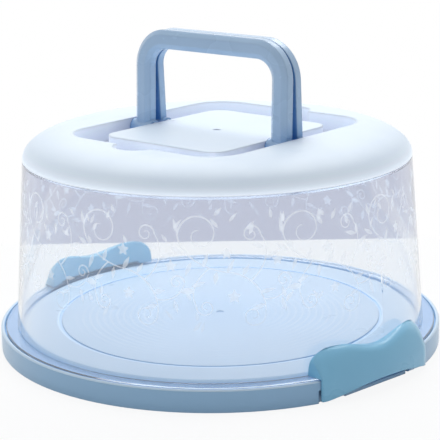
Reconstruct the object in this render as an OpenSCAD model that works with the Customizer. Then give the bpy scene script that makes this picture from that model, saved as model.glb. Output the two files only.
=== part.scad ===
// Round cake carrier: a low tray, a clear cover with a white cap, two folding handles in the
// cap and two hinged latches on the tray's rim. Millimetres, +Z up, the tray stands on Z = 0.
// X runs along the handles' grip; the latches sit latch_turn degrees round from that line.

/* [Tray] */
// Outer diameter of the tray
tray_d = 290; // [270:1:330]
// Height of the rim above the table
rim_h = 13.9; // [13:0.1:18]
// Thickness of the tray's plastic
tray_wall = 2.4; // [1.6:0.1:3]
// Width of the raised lip round the edge
lip_w = 2.4; // [1.6:0.1:4]
// Depth of the channel inside the lip, where the cover sits
channel_depth = 3.4; // [3:0.1:4]
// Height of the cake plate above the rim
plate_rise = 0.8; // [0:0.1:4]
// Width of the sloped edge of the cake plate
plate_bevel = 3; // [1:0.1:6]
// Diameter of the centring groove in the plate
groove_d = 212; // [120:1:240]
// Width of the centring groove
groove_w = 1.8; // [1:0.1:4]
// Depth of the centring groove
groove_depth = 0.8; // [0.4:0.1:1.2]
// Number of straight ribs under the plate
rib_count = 12; // [6:1:24]
// Height of the ribs under the plate
rib_h = 5; // [2:0.5:7]
// Depth from the tray's edge to the wall behind a latch
latch_wall_back = 5.5; // [4:0.1:8]
// Thickness of the ribs under the plate
rib_t = 1.6; // [1:0.1:3]

/* [Clear cover] */
// Height of the seam between cover and cap above the table
seam_h = 124; // [100:1:180]
// Outer radius of the cover at the seam
seam_r = 126; // [118:1:130]
// Thickness of the clear wall
cover_wall = 1.8; // [1.2:0.1:3]
// Width of the flange round the cover's foot
flange_w = 7.5; // [5:0.5:10]
// Thickness of the flange
flange_t = 3.6; // [2:0.1:4]
// Width of the ledge that carries the cap
ledge_w = 12; // [8:1:20]
// Height of the collar that centres the cap
collar_h = 3; // [1:0.5:3]

/* [White cap] */
// Height of the cap from the seam to its top
cap_rise = 16.4; // [15:0.1:24]
// Thickness of the cap's plastic
cap_wall = 2.2; // [1.6:0.1:2.8]
// Depth of the recess that takes the folded handles
recess_depth = 12.2; // [12:0.1:14]
// Corner radius of the recess
recess_corner = 24; // [18:1:28]
// Corner radius of the raised panel inside the recess
panel_corner = 12; // [6:1:18]
// Drop of the panel below the cap's top
panel_drop = 2.1; // [0:0.1:4]
// Diameter of the round finger notches in the recess edge
notch_d = 30; // [20:1:36]
// How far a finger notch reaches past the recess
notch_reach = 11.6; // [6:0.1:12]

/* [Handles] */
// Outer width of a handle
handle_w = 128; // [110:1:134]
// Height from the pivot to the top of a handle
handle_rise = 66.7; // [58:0.1:72]
// Width of the grip and the legs
grip_w = 12.4; // [9:0.1:15]
// Thickness of the grip and the legs
grip_t = 7.6; // [6:0.1:7.9]
// Width of the sloped edges on the outer face of the grip
grip_bevel = 3.2; // [1:0.1:4]
// Depth of those sloped edges
bevel_drop = 2.2; // [0.6:0.1:3]
// Outer corner radius of a handle
handle_corner = 25; // [18:1:32]
// Distance between the pivot lines of the two handles
pivot_spread = 12.4; // [12:0.1:16]
// Depth of the pivots below the cap's top
pivot_drop = 6.1; // [6:0.1:6.4]
// Radius of the round hubs at the feet of the handles
hub_r = 5.7; // [5:0.1:5.8]
// Diameter of the handle pins
handle_pin_d = 4; // [3:0.1:5]
// Offset of a handle's flat face from its pivot line
face_off = 3.4; // [2.6:0.1:3.6]

/* [Latches] */
// Turn of the latches from the line of the handles
latch_turn = -7; // [-40:1:40]
// Width of a latch
latch_w = 92; // [80:1:104]
// Height of the latch's two ears
latch_h = 31.5; // [28:0.1:38]
// Dip between the ears
latch_dip = 4.7; // [0:0.1:7]
// Half the distance between the tops of the ears
ear_half = 30; // [24:1:32]
// Width of the rounded shoulders at the latch's ends
shoulder_w = 13; // [8:1:14]
// Height of the rounded shoulders
shoulder_h = 9.5; // [6:0.5:10]
// Height of the arch in the lower edge
arch_h = 7.1; // [5:0.1:8]
// Thickness of the latch's outer wall
latch_wall = 3; // [2:0.1:3.6]
// Radius of the round barrels on the hinge line
barrel_r = 2.6; // [2.4:0.1:2.8]
// Length of the barrels
barrel_l = 11.6; // [9:0.1:12]
// Length of the tray's lugs beside the barrels
lug_t = 5; // [3:0.5:6]
// Distance from an ear's top to the hook that holds the cover
hook_step = 6; // [4:1:8]
// Lean of the latch's inner wall away from the cover
inner_lean = 2; // [1:0.1:3]
// Width of the latch's top between its two faces
crest_w = 4.4; // [3:0.1:5]
// Angle through which a latch swings open
latch_swing = 40; // [30:1:40]
// Diameter of the latch pins
latch_pin_d = 2.4; // [1.8:0.1:2.6]

/* [Clearances] */
// Gap between the cover's flange and the lip
seat_gap = 0.8; // [0.4:0.1:1.2]
// Gap under a piece that rests on another
rest_gap = 0.2; // [0.1:0.05:0.4]
// Gap between the latch and the tray's rim
latch_gap = 0.6; // [0.4:0.1:1]
// Gap between a moving hub, lug or barrel and the wall beside it
side_gap = 0.3; // [0.2:0.05:0.5]
// Gap between a folded handle's legs and the recess wall
recess_side_gap = 3; // [2:0.1:5]
// Gap between a folded handle's grip and the recess wall
recess_end_gap = 4.6; // [3:0.1:7]
// Gap between a folded handle's legs and the panel
panel_side_gap = 2.6; // [2:0.1:4]
// Gap between a folded handle's grip and the panel
panel_end_gap = 3.5; // [2:0.1:6]
// Height of the hinge barrels above the table
table_gap = 0.6; // [0.4:0.1:1]
// Gap between the barrels and the wall behind them
barrel_gap = 0.7; // [0.5:0.1:1.2]
// Gap between the latch's inner wall and the cover
inner_gap = 0.9; // [0.6:0.1:1.4]
// Gap between the closed hooks and the cover's flange
hook_gap = 0.4; // [0.3:0.1:0.8]
// Radial gap between a pin and the part that turns on it
pin_gap = 0.06; // [0.03:0.01:0.1]

/* [Hidden] */
$fn = 96;
eps = 0.01;

// Tray
tray_r = tray_d / 2;
plate_z = rim_h + plate_rise;
channel_z = rim_h - channel_depth;
lip_in_r = tray_r - lip_w;

// Clear cover
flange_r = lip_in_r - seat_gap;
foot_r = flange_r - flange_w;
flange_z = channel_z + rest_gap;
flange_top = flange_z + flange_t;
shoulder_r = foot_r - cover_wall - inner_gap;
ledge_top = seam_h - rest_gap;
ledge_z = ledge_top - cover_wall;
collar_gap = 1.2;
collar_r = seam_r - cap_wall - collar_gap;

// White cap
cap_top = seam_h + cap_rise;
recess_z = cap_top - recess_depth;
panel_z = cap_top - panel_drop;
pan_z = recess_z - cap_wall;
half_handle = handle_w / 2;
fold_reach = pivot_spread / 2 + handle_rise;
recess_x = half_handle + recess_side_gap;
recess_y = fold_reach + recess_end_gap;
panel_x = half_handle - grip_w - panel_side_gap;
panel_y = fold_reach - grip_w - panel_end_gap;
notch_r = notch_d / 2;
notch_y = recess_y + notch_reach - notch_r;
cap_flat_r = norm([recess_x - recess_corner, recess_y - recess_corner]) + recess_corner;
boss_r = handle_pin_d / 2 + 2.4;
boss_l = 3;
gate_r = 2.4;
gate_depth = 0.5;

// Handles
pivot_y = pivot_spread / 2;
pivot_z = cap_top - pivot_drop;
lean_gap = 0.15;
lean = asin((pivot_y - face_off - lean_gap) / handle_rise);
pin_x0 = panel_x - cap_wall - boss_l + 0.2;
pin_x1 = recess_x + cap_wall + boss_l - 0.2;

// Latches
half_latch = latch_w / 2;
latch_r = tray_r + latch_gap + latch_wall;
latch_foot = 1;
hinge_z = barrel_r + table_gap;
barrel_in = half_latch - barrel_l;
lug_out = barrel_in - side_gap;
lug_in = lug_out - lug_t;
lug_r = barrel_r - 0.2;
hinge_x = sqrt(pow(tray_r + latch_gap, 2) - pow(lug_out, 2)) - side_gap - lug_r;
pocket_x = hinge_x - barrel_r - barrel_gap;
front_x = tray_r - latch_wall_back;
front_half = lug_in - 2;
pocket_half = half_latch + 1;
pocket_top = channel_z - tray_wall;
skin = 2.2;
nib_in = ear_half + hook_step;
nib_z = max(flange_top, rim_h) + hook_gap;
bridge_z = nib_z + 1.6;
inner_r0 = foot_r + inner_gap;
inner_r1 = inner_r0 + inner_lean;
crest_r = inner_r1 + crest_w;
straight_z = 9;
shoulder_in = half_latch - shoulder_w;

// Share of the shoulder's height that is lost at the share u of its width
function shoulder_drop(u) = 1 - sqrt(max(0, 1 - u * u));

// Height of the latch's top edge at t along its width
function top_z(t) =
    abs(t) <= ear_half
        ? latch_h - latch_dip * (1 + cos(180 * t / ear_half)) / 2
        : latch_h - shoulder_h * shoulder_drop(max(0, abs(t) - shoulder_in) / shoulder_w);

// Height of the latch's lower edge at t along its width
function foot_z(t) =
    latch_foot + arch_h * max(0, 1 - pow(t / (half_latch - 2), 2));

// Radius of the latch's outer face at height z
function face_r(z) =
    z <= straight_z
        ? latch_r
        : latch_r - (latch_r - crest_r) * pow((z - straight_z) / (latch_h - straight_z), 2);

module rounded_plate(x, y, r, z0, z1) {
    translate([0, 0, z0])
        linear_extrude(z1 - z0)
            union() {
                square([2 * x, 2 * (y - r)], center = true);
                square([2 * (x - r), 2 * y], center = true);
                for (sx = [-1, 1], sy = [-1, 1])
                    translate([sx * (x - r), sy * (y - r)])
                        circle(r);
            }
}

// A rod along X from x0 to x1
module rod_x(x0, x1, r) {
    translate([x0, 0, 0])
        rotate([0, 90, 0])
            cylinder(h = x1 - x0, r = r);
}

// A rod along Y from y0 to y1
module rod_y(y0, y1, r) {
    translate([0, y1, 0])
        rotate([90, 0, 0])
            cylinder(h = y1 - y0, r = r);
}

// Puts a piece drawn with its outward direction along +X at one latch station
module at_latch(side) {
    rotate([0, 0, latch_turn + (side > 0 ? 0 : 180)])
        children();
}

// Tray
module tray_body() {
    plate_in = plate_z - tray_wall;
    rotate_extrude($fn = 180)
        polygon([
            [0, plate_in], [shoulder_r - plate_bevel, plate_in],
            [shoulder_r - tray_wall, channel_z - tray_wall], [tray_r - tray_wall, pocket_top],
            [tray_r - tray_wall, 0], [tray_r, 0], [tray_r, rim_h - 0.8], [tray_r - 0.8, rim_h],
            [lip_in_r + 0.4, rim_h], [lip_in_r, rim_h - 0.4], [lip_in_r, channel_z],
            [shoulder_r, channel_z], [shoulder_r, plate_z - plate_bevel / 2],
            [shoulder_r - plate_bevel, plate_z], [0, plate_z]
        ]);
}

module tray_ribs() {
    top = plate_z - tray_wall + eps;
    rib_z = top - rib_h;
    for (r = [groove_d / 4, groove_d / 2])
        translate([0, 0, rib_z])
            difference() {
                cylinder(h = rib_h, r = r + rib_t / 2);
                translate([0, 0, -1])
                    cylinder(h = rib_h + 2, r = r - rib_t / 2);
            }
    for (i = [0 : rib_count - 1])
        rotate([0, 0, i * 360 / rib_count])
            translate([groove_d / 4, -rib_t / 2, rib_z])
                cube([shoulder_r - plate_bevel - 4 - groove_d / 4, rib_t, rib_h]);
}

// The wall that closes the rim behind a latch, and the two lugs for its pins
module latch_pocket_wall() {
    translate([pocket_x - tray_wall, -pocket_half - tray_wall, 0])
        cube([tray_wall, 2 * (pocket_half + tray_wall), pocket_top + eps]);
    translate([front_x - tray_wall, -front_half, 0])
        cube([tray_wall, 2 * front_half, pocket_top + eps]);
    for (s = [-1, 1])
        translate([pocket_x - eps, s > 0 ? front_half - tray_wall : -front_half, 0])
            cube([front_x - pocket_x, tray_wall, pocket_top + eps]);
    for (s = [-1, 1]) {
        translate([pocket_x - tray_wall, s > 0 ? pocket_half : -pocket_half - tray_wall, 0])
            cube([tray_r - tray_wall - pocket_x, tray_wall, pocket_top + eps]);
        translate([hinge_x, 0, hinge_z])
            rod_y(s > 0 ? lug_in : -lug_out, s > 0 ? lug_out : -lug_in, lug_r);
        translate([pocket_x - eps, s > 0 ? lug_in : -lug_out, hinge_z - lug_r])
            cube([hinge_x - pocket_x, lug_t, 2 * lug_r]);
    }
}

module latch_pocket_cut() {
    translate([pocket_x, -pocket_half, -1])
        cube([tray_r, 2 * pocket_half, pocket_top + 1]);
}

module tray() {
    color("lightskyblue")
        difference() {
            union() {
                difference() {
                    tray_body();
                    for (side = [-1, 1])
                        at_latch(side)
                            latch_pocket_cut();
                }
                tray_ribs();
                intersection() {
                    for (side = [-1, 1])
                        at_latch(side)
                            latch_pocket_wall();
                    cylinder(h = rim_h, r = tray_r - 0.6, $fn = 180);
                }
            }
            translate([0, 0, plate_z - groove_depth])
                difference() {
                    cylinder(h = groove_depth + 1, r = (groove_d + groove_w) / 2, $fn = 180);
                    translate([0, 0, -1])
                        cylinder(h = groove_depth + 3, r = (groove_d - groove_w) / 2, $fn = 180);
                }
            translate([0, 0, plate_z - gate_depth])
                cylinder(h = 1, r = gate_r);
            for (side = [-1, 1])
                at_latch(side)
                    translate([hinge_x, 0, hinge_z])
                        rod_y(-half_latch, half_latch, latch_pin_d / 2);
        }
}

// Latches
module latch_outline(drop, inset, foot) {
    n = 36;
    reach = half_latch - inset;
    ts = [for (i = [0 : n]) -reach * cos(180 * i / n)];
    rotate([90, 0, 90])
        linear_extrude(latch_r + 1)
            polygon(concat(
                [for (t = ts) [t, top_z(t) - drop]],
                [for (i = [0 : n]) let (t = ts[n - i]) [t, foot ? foot_z(t) : -1]]
            ));
}

module latch_shell() {
    heights = [for (i = [0 : 8]) straight_z + (latch_h - straight_z) * i / 8];
    rotate([0, 0, -30])
        rotate_extrude(angle = 60, $fn = 180)
            polygon(concat(
                [[tray_r + latch_gap, 0], [latch_r, 0]],
                [for (z = heights) [face_r(z), z]],
                [[inner_r1, latch_h], [inner_r0, nib_z], [tray_r + latch_gap, nib_z]]
            ));
}

module latch_hollow() {
    top = latch_h - skin;
    heights = [for (i = [0 : 6]) nib_z + (top - nib_z) * i / 6];
    rotate([0, 0, -30])
        rotate_extrude(angle = 60, $fn = 180)
            polygon(concat(
                [[tray_r, nib_z - 1]],
                [for (z = heights) [face_r(z) - skin, z]],
                [[inner_r1 + skin, top], [inner_r0 + skin, nib_z], [inner_r0 + skin, nib_z - 1]]
            ));
}

module latch_barrels(r, in, out) {
    for (s = [-1, 1])
        translate([hinge_x, 0, hinge_z])
            rod_y(s > 0 ? in : -out, s > 0 ? out : -in, r);
}

module latch(side) {
    color("cadetblue")
        at_latch(side)
            difference() {
                union() {
                    difference() {
                        intersection() {
                            latch_shell();
                            latch_outline(0, 0, true);
                        }
                        intersection() {
                            latch_hollow();
                            latch_outline(skin, skin, false);
                        }
                        // The inner wall stops short of the rim between the two hooks
                        intersection() {
                            translate([0, -nib_in, 0])
                                cube([tray_r, 2 * nib_in, bridge_z]);
                            cylinder(h = bridge_z, r = inner_r0 + 2 * skin, $fn = 180);
                        }
                        // The lower edge lies flat on the table once the latch is fully open
                        translate([hinge_x, -half_latch - 1, hinge_z])
                            rotate([0, -latch_swing, 0])
                                translate([0, 0, -hinge_z - 19.9])
                                    cube([30, latch_w + 2, 20]);
                    }
                    intersection() {
                        latch_barrels(barrel_r, barrel_in, half_latch);
                        cylinder(h = 2 * hinge_z, r = latch_r, $fn = 180);
                    }
                }
                latch_barrels(latch_pin_d / 2 + pin_gap, 0, half_latch - 1.2);
            }
}

module latch_right() {
    latch(1);
}

module latch_left() {
    latch(-1);
}

module latch_pins() {
    color("gainsboro")
        for (side = [-1, 1])
            at_latch(side)
                latch_barrels(latch_pin_d / 2, lug_in + 0.3, half_latch - 1.6);
}

// Clear cover
module clear_cover() {
    color("lightcyan", 0.4)
        rotate_extrude($fn = 180)
            polygon([
                [foot_r - cover_wall, flange_z], [flange_r, flange_z],
                [flange_r, flange_top - 0.6], [flange_r - 0.6, flange_top],
                [foot_r, flange_top], [seam_r, ledge_top],
                [collar_r, ledge_top], [collar_r, ledge_top + collar_h],
                [collar_r - cover_wall, ledge_top + collar_h], [collar_r - cover_wall, ledge_top],
                [seam_r - ledge_w, ledge_top], [seam_r - ledge_w, ledge_z],
                [seam_r - cover_wall, ledge_z]
            ]);
}

// White cap
module cap_dome(cut) {
    n = 24;
    rise = cap_rise - cut;
    run = seam_r - cap_flat_r;
    rotate_extrude($fn = 180)
        polygon(concat(
            [[0, seam_h], [seam_r - cut, seam_h]],
            [for (i = [1 : n - 1])
                [cap_flat_r + (run - cut) * cos(90 * i / n), seam_h + rise * sin(90 * i / n)]],
            [[cap_flat_r, seam_h + rise], [0, seam_h + rise]]
        ));
}

module cap_recess(grow, z0, z1) {
    rounded_plate(recess_x + grow, recess_y + grow, recess_corner + grow, z0, z1);
    for (s = [-1, 1])
        translate([0, s * notch_y, z0])
            cylinder(h = z1 - z0, r = notch_r + grow);
}

module pivot_bosses() {
    for (sx = [-1, 1], sy = [-1, 1])
        translate([0, sy * pivot_y, pivot_z]) {
            rod_x(sx > 0 ? panel_x - cap_wall - boss_l : -panel_x,
                  sx > 0 ? panel_x : -panel_x + cap_wall + boss_l, boss_r);
            rod_x(sx > 0 ? recess_x : -recess_x - cap_wall - boss_l,
                  sx > 0 ? recess_x + cap_wall + boss_l : -recess_x, boss_r);
        }
}

module white_cap() {
    color("white")
        difference() {
            union() {
                difference() {
                    cap_dome(0);
                    translate([0, 0, -eps])
                        cap_dome(cap_wall);
                }
                cap_recess(cap_wall, pan_z, cap_top - eps);
            }
            difference() {
                cap_recess(0, recess_z, cap_top + 1);
                rounded_plate(panel_x, panel_y, panel_corner, recess_z - 1, panel_z);
                pivot_bosses();
            }
            difference() {
                rounded_plate(panel_x - cap_wall, panel_y - cap_wall, panel_corner - cap_wall,
                              pan_z - 1, panel_z - cap_wall);
                pivot_bosses();
            }
            translate([0, 0, panel_z - gate_depth])
                cylinder(h = 1, r = gate_r);
            for (sx = [-1, 1], sy = [-1, 1])
                translate([0, sy * pivot_y, pivot_z])
                    rod_x(sx > 0 ? pin_x0 - 1 : -pin_x1 - 1, sx > 0 ? pin_x1 + 1 : -pin_x0 + 1,
                          handle_pin_d / 2);
        }
}

// Handles
function grip_section(s) = [
    [0, 0], [0, s * (grip_t - bevel_drop)], [grip_bevel, s * grip_t],
    [grip_w - grip_bevel, s * grip_t], [grip_w, s * (grip_t - bevel_drop)], [grip_w, 0]
];

// One upright handle with its pivot on the X axis and its flat face towards +Y
module handle_shape() {
    leg_l = handle_rise - handle_corner;
    translate([0, face_off, 0]) {
        for (s = [-1, 1]) {
            mirror([s > 0 ? 1 : 0, 0, 0])
                translate([-half_handle, 0, 0])
                    linear_extrude(leg_l)
                        polygon(grip_section(-1));
            mirror([s > 0 ? 1 : 0, 0, 0])
                translate([-half_handle + handle_corner, 0, leg_l])
                    rotate([90, 0, 0])
                        rotate([0, 0, 90])
                            rotate_extrude(angle = 90)
                                polygon([for (p = grip_section(1)) [handle_corner - p[0], p[1]]]);
        }
        translate([-half_handle + handle_corner, 0, handle_rise])
            rotate([0, 90, 0])
                linear_extrude(2 * (half_handle - handle_corner))
                    polygon(grip_section(-1));
    }
}

module handle_hubs(r, gap) {
    for (s = [-1, 1])
        rod_x(s > 0 ? panel_x + gap : -recess_x + gap, s > 0 ? recess_x - gap : -panel_x - gap, r);
}

module handle() {
    color("lightsteelblue")
        translate([0, -pivot_y, pivot_z])
            rotate([-lean, 0, 0])
                difference() {
                    union() {
                        handle_shape();
                        handle_hubs(hub_r, side_gap);
                    }
                    handle_hubs(handle_pin_d / 2 + pin_gap, -1);
                }
}

module handle_front() {
    handle();
}

module handle_rear() {
    mirror([0, 1, 0])
        handle();
}

module handle_pins() {
    color("steelblue")
        for (sx = [-1, 1], sy = [-1, 1])
            translate([0, sy * pivot_y, pivot_z])
                rod_x(sx > 0 ? pin_x0 : -pin_x1, sx > 0 ? pin_x1 : -pin_x0, handle_pin_d / 2);
}

tray();
latch_right();
latch_left();
latch_pins();
clear_cover();
white_cap();
handle_front();
handle_rear();
handle_pins();
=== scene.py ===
"""Looks of the round cake carrier: blue tray, latches and handles, clear printed cover, white cap."""
import math
import random

import bmesh
import bpy
from mathutils import Matrix, Vector


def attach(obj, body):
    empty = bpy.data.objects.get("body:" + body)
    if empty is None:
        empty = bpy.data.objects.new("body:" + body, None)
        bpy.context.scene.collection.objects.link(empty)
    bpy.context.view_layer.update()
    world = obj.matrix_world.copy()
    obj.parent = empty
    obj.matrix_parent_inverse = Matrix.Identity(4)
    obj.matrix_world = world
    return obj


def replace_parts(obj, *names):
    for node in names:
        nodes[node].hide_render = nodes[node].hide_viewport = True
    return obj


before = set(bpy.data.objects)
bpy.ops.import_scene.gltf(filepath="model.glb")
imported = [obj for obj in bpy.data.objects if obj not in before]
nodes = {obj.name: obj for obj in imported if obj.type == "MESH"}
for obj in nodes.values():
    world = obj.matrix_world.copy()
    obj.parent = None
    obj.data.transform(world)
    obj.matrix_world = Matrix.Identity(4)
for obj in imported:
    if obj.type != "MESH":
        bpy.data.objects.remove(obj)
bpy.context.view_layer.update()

for item in bpy.context.selected_objects:
    item.select_set(False)

# Tray
# One low moulding in glossy pale blue plastic that stands on the table and carries all the rest.
# The CAD node has the true shape. Its plastic has a faint mottle, soft edges and turned rings in the
# plate. Painted on it as light and shade: a fuller blue in corners and narrow gaps as shade, a glow
# in the groove, and a darker blue on the upright faces of the outer skirt as shade.

skirt_radius = 0.138
ring_pitch = 0.0045
ring_start = (0.02, 0.05)
ring_end = (0.088, 0.1)
ring_tint = 0.55
groove_radius = 0.1069
groove_reach = 0.0014
groove_glow = 0.2


def srgb(r, g, b):
    """Linear colour from 0-255 values as seen on a screen."""
    out = []
    for v in (r, g, b):
        v = v / 255
        out.append(v / 12.92 if v <= 0.04045 else ((v + 0.055) / 1.055) ** 2.4)
    return (*out, 1.0)


def add_node(tree, kind, values=None, **settings):
    """Adds one shader node. The settings are its own properties, the values fill its inputs: a
    socket is linked to the input, any other value is written on it."""
    node = tree.nodes.new("ShaderNode" + kind)
    for name, value in settings.items():
        setattr(node, name, value)
    for place, value in (values or {}).items():
        if isinstance(value, bpy.types.NodeSocket):
            tree.links.new(value, node.inputs[place])
        else:
            node.inputs[place].default_value = value
    return node


def maths(tree, operation, *values):
    """Result of one sum on sockets or numbers."""
    return add_node(tree, "Math", dict(enumerate(values)), operation=operation).outputs["Value"]


def ranged(tree, value, low, high, to_low=0.0, to_high=1.0):
    """The value's range from low to high, spread over the one from to_low to to_high."""
    ends = {"Value": value, "From Min": low, "From Max": high, "To Min": to_low, "To Max": to_high}
    return add_node(tree, "MapRange", ends).outputs["Result"]


def mixed(tree, share, first, second):
    """Colour between first, at a share of 0, and second, at 1."""
    return add_node(tree, "Mix", {0: share, 6: first, 7: second}, data_type="RGBA").outputs[2]


def two_tone(tree, value, low, high, low_at=0.0, high_at=1.0):
    """Colour that goes from low to high while the value goes from low_at to high_at."""
    ramp = add_node(tree, "ValToRGB", {"Fac": value})
    first, last = ramp.color_ramp.elements
    first.position = low_at
    first.color = low
    last.position = high_at
    last.color = high
    return ramp.outputs["Color"]


def noise(tree, scale, detail=2.0):
    """Noise on the piece's own place, so that it moves with the piece."""
    place = add_node(tree, "TexCoord").outputs["Object"]
    values = {"Vector": place, "Scale": scale, "Detail": detail}
    return add_node(tree, "TexNoise", values).outputs["Fac"]


def from_axis(tree):
    """Distance from the carrier's upright axis, in metres."""
    place = add_node(tree, "TexCoord").outputs["Object"]
    flat = add_node(tree, "VectorMath", {0: place, 1: (1, 1, 0)}, operation="MULTIPLY")
    length = add_node(tree, "VectorMath", {0: flat.outputs["Vector"]}, operation="LENGTH")
    return length.outputs["Value"]


def on_rays(tree, *kinds):
    """1 on rays of the given kinds and 0 on all others."""
    path = add_node(tree, "LightPath")
    share = path.outputs[f"Is {kinds[0]} Ray"]
    for kind in kinds[1:]:
        share = maths(tree, "MAXIMUM", share, path.outputs[f"Is {kind} Ray"])
    return share


def mix_shaders(tree, share, first, second):
    """Surface between first, at a share of 0, and second, at 1."""
    return add_node(tree, "MixShader", {0: share, 1: first, 2: second}).outputs["Shader"]


def upward(tree):
    """1 on faces that look up, 0 on upright ones and -1 on those that look down."""
    facing = add_node(tree, "NewGeometry").outputs["Normal"]
    return add_node(tree, "SeparateXYZ", {"Vector": facing}).outputs["Z"]


def new_material(name):
    """A material with nodes; gives back the material, its node tree and its main shader."""
    mat = bpy.data.materials.new(name)
    mat.use_nodes = True
    return mat, mat.node_tree, mat.node_tree.nodes["Principled BSDF"]


def show_surface(tree, surface):
    """Makes the given surface the one that the material shows."""
    tree.links.new(surface, tree.nodes["Material Output"].inputs["Surface"])


def moulded_plastic(name, low, high, rough, edge, sheen=0.0, thin_and_glow=0.0, corner_shade=None, reach=0.01,
                    wall=None):
    """Glossy moulded plastic: mottled colour, uneven gloss, fine flow texture, softened edges.
    corner_shade is a fuller colour painted as shade in corners and narrow gaps, where an occlusion
    mask finds other surfaces up to reach away, and wall a darker colour painted as shade on the
    upright faces of the outer skirt. thin_and_glow is the share of light that a wall of little
    thickness lets through to what is behind it; it also turns on a painted glow on upright faces,
    weaker in corners, which needs a corner_shade colour."""
    mat, tree, shader = new_material(name)
    link = tree.links.new
    colour = two_tone(tree, noise(tree, scale=14, detail=3), low, high, 0.3, 0.7)
    # Painted shade: where the occlusion mask finds other surfaces close by, in corners and narrow
    # gaps, the colour turns to the fuller corner_shade.
    if corner_shade:
        corner = add_node(tree, "AmbientOcclusion", {"Distance": reach}, samples=8).outputs["AO"]
        colour = mixed(tree, corner, corner_shade, colour)
    # Painted shade: upright faces of the outer skirt, beyond skirt_radius, take the darker wall
    # colour in place of the shade they get from the lamps above.
    if wall:
        level = ranged(tree, maths(tree, "ABSOLUTE", upward(tree)), 0.15, 0.7)
        inner = maths(tree, "LESS_THAN", from_axis(tree), skirt_radius)
        colour = mixed(tree, maths(tree, "MAXIMUM", level, inner), wall, colour)
    link(colour, shader.inputs["Base Color"])
    gloss = ranged(tree, noise(tree, scale=45), 0, 1, rough * 0.75, rough * 1.3)
    link(gloss, shader.inputs["Roughness"])
    soft = add_node(tree, "Bevel", {"Radius": edge}, samples=6).outputs["Normal"]
    grain = noise(tree, scale=900)
    relief = {"Height": grain, "Strength": 0.05, "Distance": 0.0002, "Normal": soft}
    link(add_node(tree, "Bump", relief).outputs["Normal"], shader.inputs["Normal"])
    shader.inputs["IOR"].default_value = 1.5
    shader.inputs["Coat Weight"].default_value = sheen
    shader.inputs["Coat Roughness"].default_value = 0.12
    # Painted light: upright faces glow a little, weaker in corners. Apart from that, shadow rays
    # really pass part way through the plastic.
    if thin_and_glow > 0:
        glow = ranged(tree, upward(tree), 0.1, 0.8, 0.44, 0.06)
        open_air = maths(tree, "POWER", corner, 1.5)
        link(maths(tree, "MULTIPLY", open_air, glow), shader.inputs["Emission Strength"])
        shader.inputs["Emission Color"].default_value = (0.88, 0.93, 1.0, 1)
        passed = maths(tree, "MULTIPLY", on_rays(tree, "Shadow"), thin_and_glow)
        through = add_node(tree, "BsdfTransparent").outputs["BSDF"]
        show_surface(tree, mix_shaders(tree, passed, shader.outputs["BSDF"], through))
    return mat


def paint(node, mat):
    """Puts one material on every slot of a CAD node."""
    for place in nodes[node].material_slots:
        place.material = mat


def turned_rings(mat):
    """Adds the plate's faint rings and a painted glow in its groove to the tray's plastic."""
    tree = mat.node_tree
    shader = tree.nodes["Principled BSDF"]
    radius = from_axis(tree)
    wave = maths(tree, "SINE", maths(tree, "MULTIPLY", radius, 2 * math.pi / ring_pitch))
    outer_fade = ranged(tree, radius, ring_end[1], ring_end[0])
    inner_fade = ranged(tree, radius, *ring_start)
    shown = maths(tree, "MULTIPLY", outer_fade, inner_fade)
    height = maths(tree, "MULTIPLY", shown, ranged(tree, wave, 0.2, 1))
    plain = shader.inputs["Base Color"].links[0].from_socket
    ringed = mixed(tree, maths(tree, "MULTIPLY", height, ring_tint), plain, srgb(232, 243, 252))
    tree.links.new(ringed, shader.inputs["Base Color"])
    smooth = shader.inputs["Normal"].links[0].from_socket
    relief = {"Height": height, "Strength": 0.12, "Distance": 0.0002, "Normal": smooth}
    tree.links.new(add_node(tree, "Bump", relief).outputs["Normal"], shader.inputs["Normal"])
    # Painted light: a narrow band at the groove glows a pale blue.
    near_groove = maths(tree, "COMPARE", radius, groove_radius, groove_reach)
    light = maths(tree, "MULTIPLY", near_groove, groove_glow)
    tree.links.new(light, shader.inputs["Emission Strength"])
    shader.inputs["Emission Color"].default_value = (0.55, 0.74, 0.95, 1)


tray_plastic = moulded_plastic("tray_plastic", srgb(208, 228, 245), srgb(214, 232, 247),
                               rough=0.3, edge=0.0006, sheen=0.2, corner_shade=srgb(140, 192, 238),
                               reach=0.0045, wall=srgb(158, 197, 227))
turned_rings(tray_plastic)
paint("tray", tray_plastic)

# Latches
# Two glossy moulded latches in a deeper blue, each hinged on two short pins at the tray's edge.
# The CAD latch's shape gets soft rolled edges. It is built of closed rings of points, one for each
# place t along its width. Sizes are in millimetres, and a radius is from the tray's centre.

latch_turn = -7
half_latch = 46.0
latch_top = 31.5
ear_half = 30.0
latch_dip = 4.7
shoulder_in = 33.0
shoulder_w = 13.0
shoulder_h = 9.5
face_radius = 148.6
crest_radius = 141.6
wall_radius = 145.6
straight = 9.0
foot = 1.0
arch_rise = 7.1
arch_half = 44.0
swing = math.radians(40)
below_pin = 3.1
pin_radius = 138.85
pin_z = 3.2
hook_radius = 135.2
hook_lean = 2.0
hook_low = 14.7
hook_high = 16.3
hook_half = 36.0
end_wall = 43.8
skin = 2.2
step = 0.3
edge_roll = 2.4
top_roll = 1.4
roll_from_z = 14.0
roll_rise = 8.0
end_roll = 2.6
end_roll_from = 24.0
end_roll_length = 22.0
end_sweep = 4.5
sweep_from = 30.0
sweep_length = 10.0
barrel_at = 36.5
barrel_r = 2.2
barrel_l = 6.0


def part_way(value, start, length):
    """0 up to the start, 1 from a length past it, and evenly rising between."""
    return min(1.0, max(0.0, (value - start) / length))


def latch_top_z(t):
    """Height of the top edge: two ears with a dip between them and rounded shoulders."""
    if abs(t) <= ear_half:
        return latch_top - latch_dip * (1 + math.cos(math.pi * t / ear_half)) / 2
    lean = part_way(abs(t), shoulder_in, shoulder_w)
    return latch_top - shoulder_h * (1 - math.sqrt(1 - lean * lean))


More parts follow.
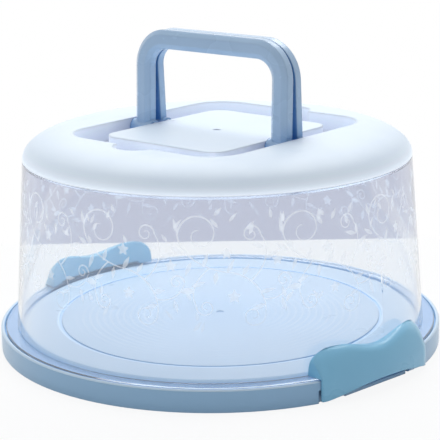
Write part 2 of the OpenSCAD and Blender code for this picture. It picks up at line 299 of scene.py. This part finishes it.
def latch_foot_z(t):
    """Height of the lower edge: the finger arch, clear of the table when the latch swings out."""
    arch = foot + arch_rise * max(0.0, 1 - (t / arch_half) ** 2)
    out = math.sqrt(face_radius ** 2 - t * t) - pin_radius
    return max(arch, pin_z - below_pin / math.cos(swing) + out * math.tan(swing))


def latch_face(z):
    """Radius of the outer face, upright below and curved in towards the crest."""
    if z <= straight:
        return face_radius
    rise = (z - straight) / (latch_top - straight)
    return face_radius - (face_radius - crest_radius) * rise ** 2


edge_line = [(-half_latch, z) for z in range(0, 22)]
for k in range(-120, 121):
    edge_t = half_latch * math.sin(math.pi * k / 240)
    edge_line.append((edge_t, latch_top_z(edge_t)))
edge_line += [(half_latch, z) for z in range(21, -1, -1)]


def latch_ring(t, filled):
    """The closed section of the latch at t, as (radius, height) pairs."""
    top = latch_top_z(t)
    low = latch_foot_z(t)
    hook = hook_low if abs(t) > hook_half else hook_high
    ends = end_roll * part_way(abs(t), end_roll_from, end_roll_length)
    sweep = end_sweep * part_way(abs(t), sweep_from, sweep_length)
    ring = []
    for k in range(25):
        z = low + (top - low) * (1 - (1 - k / 24) ** 1.7)
        gap = min(math.hypot(t - a, z - b) for a, b in edge_line)
        roll = edge_roll + (top_roll + ends) * part_way(z, roll_from_z, roll_rise)
        near = min(1.0, gap / (roll + sweep))
        ring.append((latch_face(z) - roll * (1 - math.sqrt(1 - (1 - near) ** 2)), z))
    lean = []
    for share in (0, 0.35, 0.7, 1):
        z = top - share * (top - hook)
        lean.append((hook_radius + hook_lean * (z - hook_low) / (latch_top - hook_low), z))
    ceiling = max(hook_low + step, top - skin)
    inside = [(lean[3][0] + skin, hook),
              (lean[3][0] + skin, hook_low + step),
              (lean[1][0] + skin, ceiling),
              (latch_face(top) - skin - 0.6, ceiling),
              (latch_face(hook_low + 4) - skin, hook_low + 4),
              (wall_radius, hook_low)]
    if filled:
        inside = [(r, hook_low) for r, _ in inside]
        lean[3] = (lean[3][0], hook_low)
    ring[-1] = (max(ring[-1][0], lean[0][0] + 1.2), top)
    ring.append((lean[0][0] + 0.9, top))
    lean[0] = (lean[0][0] + 0.1, top - 0.7)
    return ring + lean + inside + [(wall_radius, low)]


def latch_piece(name, heading):
    """One latch with its two barrels, standing in the direction of heading, in degrees."""
    mesh = bmesh.new()
    places = []
    for k in range(-48, 49):
        t = half_latch * math.sin(math.pi * k / 96)
        places.append((t, abs(t) > end_wall))
    for t in (-end_wall, end_wall):
        places += [(t, True), (t, False)]
    places.sort(key=lambda p: (p[0], p[1] if p[0] > 0 else not p[1]))
    rings = []
    for t, filled in places:
        ring = []
        for r, z in latch_ring(t, filled):
            a = math.atan2(t, math.sqrt(r * r - t * t)) + math.radians(heading)
            ring.append(mesh.verts.new(Vector((r * math.cos(a), r * math.sin(a), z)) / 1000))
        rings.append(ring)
    for a, b in zip(rings, rings[1:]):
        for k in range(len(a)):
            n = (k + 1) % len(a)
            mesh.faces.new((a[k], b[k], b[n], a[n]))
    mesh.faces.new(rings[0])
    mesh.faces.new(list(reversed(rings[-1])))
    upright = Matrix.Rotation(math.radians(heading), 4, "Z")
    lying = Matrix.Rotation(math.pi / 2, 4, "X")
    for s in (-barrel_at, barrel_at):
        spot = Matrix.Translation(Vector((pin_radius, s, pin_z)) / 1000)
        bmesh.ops.create_cone(mesh, cap_ends=True, segments=32, radius1=barrel_r / 1000,
                              radius2=barrel_r / 1000, depth=barrel_l / 1000,
                              matrix=upright @ spot @ lying)
    bmesh.ops.remove_doubles(mesh, verts=mesh.verts, dist=0.000002)
    bmesh.ops.recalc_face_normals(mesh, faces=mesh.faces)
    data = bpy.data.meshes.new(name)
    mesh.to_mesh(data)
    mesh.free()
    data.materials.append(latch_plastic)
    piece = bpy.data.objects.new(name, data)
    bpy.context.scene.collection.objects.link(piece)
    bpy.context.view_layer.objects.active = piece
    piece.select_set(True)
    bpy.ops.object.shade_smooth_by_angle(angle=math.radians(38))
    piece.select_set(False)
    return piece


latch_plastic = moulded_plastic("latch_plastic", srgb(136, 202, 234), srgb(144, 208, 238),
                                rough=0.28, edge=0.0008, sheen=0.25)
latch_right = latch_piece("latch_shell_right", latch_turn)
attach(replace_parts(latch_right, "latch_right"), "right_latch")
latch_left = latch_piece("latch_shell_left", latch_turn + 180)
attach(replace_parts(latch_left, "latch_left"), "left_latch")

# Latch pins
# Short drawn steel pins pressed into the tray's lugs. The latches' barrels turn on them, and they
# are hidden while the latches are closed.

steel, steel_tree, steel_shader = new_material("pin_steel")
steel_tone = two_tone(steel_tree, noise(steel_tree, 600), srgb(150, 152, 156), srgb(205, 207, 210))
steel_tree.links.new(steel_tone, steel_shader.inputs["Base Color"])
steel_shader.inputs["Metallic"].default_value = 1.0
steel_shader.inputs["Roughness"].default_value = 0.3
paint("latch_pins", steel)

# Clear cover
# One thin clear moulding with a flange at its foot. Real glass-like plastic: its two faces reflect
# and what is behind shows through, under a faint milky veil. Light on its way to other pieces
# passes straight through it.

clear_tint = (0.99, 0.995, 1.0, 1)
veil_share = 0.065

clear, clear_tree, clear_shader = new_material("clear_plastic")
clear_haze = noise(clear_tree, 22, 4)
clear_tree.links.new(ranged(clear_tree, clear_haze, 0.35, 0.75, 0.015, 0.05),
                     clear_shader.inputs["Roughness"])
clear_wave = add_node(clear_tree, "Bump", {"Height": clear_haze, "Strength": 0.04, "Distance": 0.001})
clear_tree.links.new(clear_wave.outputs["Normal"], clear_shader.inputs["Normal"])
clear_shader.inputs["Base Color"].default_value = clear_tint
clear_shader.inputs["IOR"].default_value = 1.46
clear_shader.inputs["Transmission Weight"].default_value = 1.0
clear_veil = add_node(clear_tree, "BsdfDiffuse", {"Color": (0.95, 0.97, 1.0, 1)}).outputs["BSDF"]
clear_pass = add_node(clear_tree, "BsdfTransparent", {"Color": clear_tint}).outputs["BSDF"]
clear_body = mix_shaders(clear_tree, veil_share, clear_shader.outputs["BSDF"], clear_veil)
clear_light = on_rays(clear_tree, "Shadow", "Diffuse")
show_surface(clear_tree, mix_shaders(clear_tree, clear_light, clear_body, clear_pass))
paint("clear_cover", clear)

# Printed scroll
# A thin white print on the outside of the clear wall: tapering stems that end in spirals, pointed
# leaves and small flowers, laid out in millimetres round the wall and up it, then wrapped on. The
# ink is uneven and thinner low down.

wall_foot_z = 13.3
wall_foot_r = 134.3
wall_top_z = 123.8
wall_top_r = 126.0
print_lift = 0.08
print_foot = 54
vine_foot = 38
vine_squeeze = 0.8
mean_r = 130.0
repeats = 13
first_turn = math.radians(-88)
print_mesh = bmesh.new()


def on_wall(s, z):
    """Point on the wall, in metres, from the distance round it and the height."""
    share = (z - wall_foot_z) / (wall_top_z - wall_foot_z)
    r = wall_foot_r + share * (wall_top_r - wall_foot_r) + print_lift
    turn = s / mean_r
    return Vector((r * math.cos(turn), r * math.sin(turn), z)) / 1000


def add_face(corners):
    """One face of the print, turned so that it looks outward."""
    verts = [print_mesh.verts.new(on_wall(s, z)) for s, z in corners]
    face = print_mesh.faces.new(verts)
    face.normal_update()
    middle = face.calc_center_median()
    if face.normal.dot(Vector((middle.x, middle.y, 0))) < 0:
        face.normal_flip()


def stroke(points, wide, narrow):
    """A ribbon along the points, wide at its start and narrow at its end."""
    sides = []
    last = len(points) - 1
    for i, (s, z) in enumerate(points):
        a, b = points[max(0, i - 1)], points[min(last, i + 1)]
        ds, dz = b[0] - a[0], b[1] - a[1]
        length = math.hypot(ds, dz) or 1
        half = (wide + (narrow - wide) * i / last) / 2
        sides.append(((s - dz / length * half, z + ds / length * half),
                      (s + dz / length * half, z - ds / length * half)))
    for (l0, r0), (l1, r1) in zip(sides, sides[1:]):
        add_face([l0, r0, r1, l1])


def leaf(s, z, angle, length, width):
    """A pointed leaf that grows from (s, z) in the direction of angle, in degrees."""
    ca, sa = math.cos(math.radians(angle)), math.sin(math.radians(angle))
    profile = [(0, 0), (0.2, 0.36), (0.42, 0.5), (0.68, 0.34), (1, 0)]
    upper = [(length * u, width * v) for u, v in profile]
    lower = [(length * u, -width * v) for u, v in reversed(profile[1:-1])]
    add_face([(s + x * ca - y * sa, z + x * sa + y * ca) for x, y in upper + lower])


def flower(s, z, size):
    """Five small petals round a point."""
    for k in range(5):
        leaf(s, z, 90 + 72 * k, size, size * 0.62)


def spiral(s, z, radius, start, turns, way):
    """Points of a spiral that runs inward round (s, z)."""
    inner = 0.18
    count = max(10, int(26 * turns))
    points = []
    for i in range(count + 1):
        share = i / count
        r = radius * (1 - (1 - inner) * share)
        a = math.radians(start + way * 360 * turns * share)
        points.append((s + r * math.cos(a), z + r * math.sin(a)))
    return points


def curve(p0, p1, p2, p3):
    """Points of a smooth curve from p0 to p3 that p1 and p2 draw towards them."""
    count = 18
    points = []
    for i in range(count + 1):
        t = i / count
        k = ((1 - t) ** 3, 3 * t * (1 - t) ** 2, 3 * t * t * (1 - t), t ** 3)
        points.append((sum(w * p[0] for w, p in zip(k, (p0, p1, p2, p3))),
                       sum(w * p[1] for w, p in zip(k, (p0, p1, p2, p3)))))
    return points


def vine(s, dice):
    """One rising stem with its scrolls, leaves and flowers, about 74 mm wide."""
    def up(z):
        return print_foot + (z - vine_foot) * vine_squeeze

    def at(x, z):
        return (s + x, up(z))

    def grow(x, z, angle, length, width):
        leaf(s + x, up(z), angle, length, width)

    def curl(x, z, radius, start, turns, way, wide=1.1):
        stroke(spiral(s + x, up(z), radius, start, turns, way), wide, 0.5)

    stroke(curve(at(34, 70), at(16, 72), at(2, 84), at(1, 98)), 0.7, 1.1)
    curl(14, 98, 13, 180, 1.25, -1, 1.2)
    stroke(curve(at(34, 70), at(46, 66), at(54, 52), at(52, 38)), 1.1, 0.7)
    curl(45, 38, 7, 0, 1.3, -1)
    stroke(curve(at(44, 64), at(54, 74), at(56, 88), at(50, 98)), 1.0, 0.7)
    curl(44.5, 98, 5.6, 0, 1.4, 1)
    stroke(curve(at(20, 74), at(12, 66), at(8, 56), at(12, 46)), 0.9, 0.7)
    curl(17.5, 45, 5.5, 170, 1.4, 1)
    stroke(curve(at(51, 50), at(60, 48), at(66, 54), at(68, 62)), 0.9, 0.6)
    curl(63.5, 63, 4.6, 0, 1.3, 1)
    for x, z, angle in ((4, 84, 150), (9, 78, 248), (16, 74, 70), (24, 71, 262), (30, 70, 62),
                        (39, 68, 58), (49, 55, 10), (52, 46, 200), (53, 80, 24), (52, 88, 165),
                        (11, 56, 178), (9, 60, 20), (62, 50, 285), (67, 58, 355), (1, 99, 105)):
        grow(x, z, angle, dice.uniform(7.5, 10), dice.uniform(2.5, 3.2))
    for x, z in ((30, 84), (34, 52), (60, 76)):
        spread = dice.uniform(3.4, 4.4)
        flower(s + x, up(z) + dice.uniform(-2, 2), spread)
    for _ in range(4):
        grow(dice.uniform(0, 72), dice.uniform(26, 50), dice.uniform(50, 130),
             dice.uniform(5, 8), dice.uniform(2, 2.8))
    for _ in range(9):
        grow(dice.uniform(0, 72), dice.uniform(84, 112), dice.uniform(40, 140),
             dice.uniform(5, 8), dice.uniform(2, 2.8))


print_dice = random.Random(11)
for k in range(repeats):
    vine((first_turn + 2 * math.pi * k / repeats) * mean_r, print_dice)

print_data = bpy.data.meshes.new("printed_scroll")
print_mesh.to_mesh(print_data)
print_mesh.free()
scroll = bpy.data.objects.new("printed_scroll", print_data)
bpy.context.scene.collection.objects.link(scroll)

ink, ink_tree, ink_shader = new_material("white_ink")
ink_shader.inputs["Base Color"].default_value = (0.93, 0.95, 0.98, 1)
ink_shader.inputs["Roughness"].default_value = 0.45
# Painted light: the ink glows a little on its own.
ink_shader.inputs["Emission Color"].default_value = (0.92, 0.96, 1.0, 1)
ink_shader.inputs["Emission Strength"].default_value = 0.32
ink_patches = ranged(ink_tree, noise(ink_tree, 160), 0, 1, 0.3, 0.7)
ink_place = add_node(ink_tree, "TexCoord").outputs["Object"]
ink_height = add_node(ink_tree, "SeparateXYZ", {"Vector": ink_place}).outputs["Z"]
ink_fade = ranged(ink_tree, ink_height, 0.05, 0.09, 0.45, 1)
ink_tree.links.new(maths(ink_tree, "MULTIPLY", ink_fade, ink_patches), ink_shader.inputs["Alpha"])
print_data.materials.append(ink)
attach(scroll, "cover")

# White cap
# One white moulding with a rounded shoulder and the recess for the folded handles. It sits on the
# cover's ledge. Its walls, of little thickness, let part of the light through to the pieces under it.
# Its upright faces carry a painted glow, and its corners and recess a lilac-grey painted shade.

# Painted light and shade: the upright faces glow, and corners and the recess turn lilac grey as
# painted shade.
cap_plastic = moulded_plastic("cap_plastic", srgb(227, 238, 250), srgb(233, 243, 252),
                              rough=0.45, edge=0.003, thin_and_glow=0.8, corner_shade=srgb(206, 207, 224),
                              reach=0.022)
cap_shader = cap_plastic.node_tree.nodes["Principled BSDF"]
cap_shader.inputs["Specular IOR Level"].default_value = 0.3
paint("white_cap", cap_plastic)

# Handles
# Two glossy moulded handles that turn on pins in the cap and stand together in the photo. The gap
# between them, and their other close corners, get a fuller blue painted as shade.

handle_plastic = moulded_plastic("handle_plastic", srgb(178, 207, 236), srgb(186, 213, 240),
                                 rough=0.26, edge=0.0018, sheen=0.3, corner_shade=srgb(60, 145, 214),
                                 reach=0.014)
paint("handle_front", handle_plastic)
paint("handle_rear", handle_plastic)

# Handle pins
# Plain plastic pins pressed into the cap, of the handles' plastic but painted the fuller blue that
# it shows in shade. The handles' hubs turn on them, and only a stub of each shows beside a handle's
# foot.

pin_plastic = moulded_plastic("handle_pin_plastic", srgb(70, 145, 205), srgb(84, 156, 212),
                              rough=0.3, edge=0.0003)
paint("handle_pins", pin_plastic)

# Floor
# A pale table whose back edge lies just behind the carrier, as in the photo. It shows as white and
# keeps the carrier's soft shadow.

view_turn = math.radians(40.62)
floor_reach = 3.0
floor_back = 0.232

look = Vector((-math.sin(view_turn), math.cos(view_turn), 0))
bpy.ops.mesh.primitive_plane_add(size=2 * floor_reach, rotation=(0, 0, view_turn))
floor = bpy.context.active_object
floor.name = "floor"
floor.data.name = "floor"
bpy.ops.object.transform_apply(location=False, rotation=True, scale=False)
bpy.ops.object.mode_set(mode="EDIT")
bpy.ops.mesh.select_all(action="SELECT")
bpy.ops.mesh.bisect(plane_co=look * floor_back, plane_no=look, clear_outer=True)
bpy.ops.object.mode_set(mode="OBJECT")
floor.select_set(False)

paper, paper_tree, paper_shader = new_material("floor_white")
paper_shader.inputs["Base Color"].default_value = (0.9, 0.9, 0.91, 1)
paper_shader.inputs["Roughness"].default_value = 0.8
paper_glow = add_node(paper_tree, "Emission").outputs["Emission"]
paper_seen = on_rays(paper_tree, "Camera", "Glossy", "Transmission")
paper_share = maths(paper_tree, "MULTIPLY", paper_seen, 0.9)
show_surface(paper_tree, mix_shaders(paper_tree, paper_share, paper_shader.outputs["BSDF"],
                                      paper_glow))
floor.data.materials.append(paper)

# Room
# White to the camera, a grey-lilac backdrop where it is seen through the clear cover, and an even
# pale light on everything.

world = bpy.data.worlds.new("room")
bpy.context.scene.world = world
world.use_nodes = True
room = world.node_tree
room_light = room.nodes["Background"]
room_light.inputs["Color"].default_value = (0.84, 0.92, 1.0, 1)
room_light.inputs["Strength"].default_value = 0.36
room_white = add_node(room, "Background", {"Color": (1, 1, 1, 1)}).outputs["Background"]
room_back = add_node(room, "Background", {"Color": srgb(187, 188, 207)}).outputs["Background"]
room_seen = mix_shaders(room, on_rays(room, "Camera", "Glossy"),
                        room_light.outputs["Background"], room_white)
room_all = mix_shaders(room, on_rays(room, "Transmission"), room_seen, room_back)
room.links.new(room_all, room.nodes["World Output"].inputs["Surface"])

# Lamps
# A wide soft lamp above and behind the carrier, and a weaker one from the left of the camera, which
# leaves no reflection.

lamp_target = Vector((0, 0, 0.06))
for name, spot, size, power in (("lamp_top", (-0.42, 0.6, 1.35), 1.5, 18.0),
                                ("lamp_side", (-0.6, -1.3, 0.9), 1.2, 1.8)):
    lamp_data = bpy.data.lights.new(name, "AREA")
    lamp_data.shape = "DISK"
    lamp_data.size = size
    lamp_data.energy = power
    lamp = bpy.data.objects.new(name, lamp_data)
    lamp.location = spot
    lamp.visible_glossy = name == "lamp_top"
    lamp.rotation_euler = (lamp_target - Vector(spot)).to_track_quat("-Z", "Y").to_euler()
    bpy.context.scene.collection.objects.link(lamp)

# Camera
# Stands where the photo was taken from. Its place, turns and lens are fitted to the outlines of the
# carrier in the photo.

camera_spot = Vector((0.6368, -0.7326, 0.3288))
camera_tilt = math.radians(75.54)
camera_roll = math.radians(-0.96)

camera_data = bpy.data.cameras.new("camera")
camera_data.lens = 124.7
camera_data.sensor_width = 36
camera_data.shift_x = -0.0187
camera_data.shift_y = -0.0023
camera_data.clip_end = 20
camera = bpy.data.objects.new("camera", camera_data)
camera.matrix_world = (Matrix.Translation(camera_spot) @ Matrix.Rotation(view_turn, 4, "Z")
                       @ Matrix.Rotation(camera_tilt, 4, "X")
                       @ Matrix.Rotation(camera_roll, 4, "Z"))
bpy.context.scene.collection.objects.link(camera)
bpy.context.scene.camera = camera
bpy.context.scene.view_settings.view_transform = "Standard"
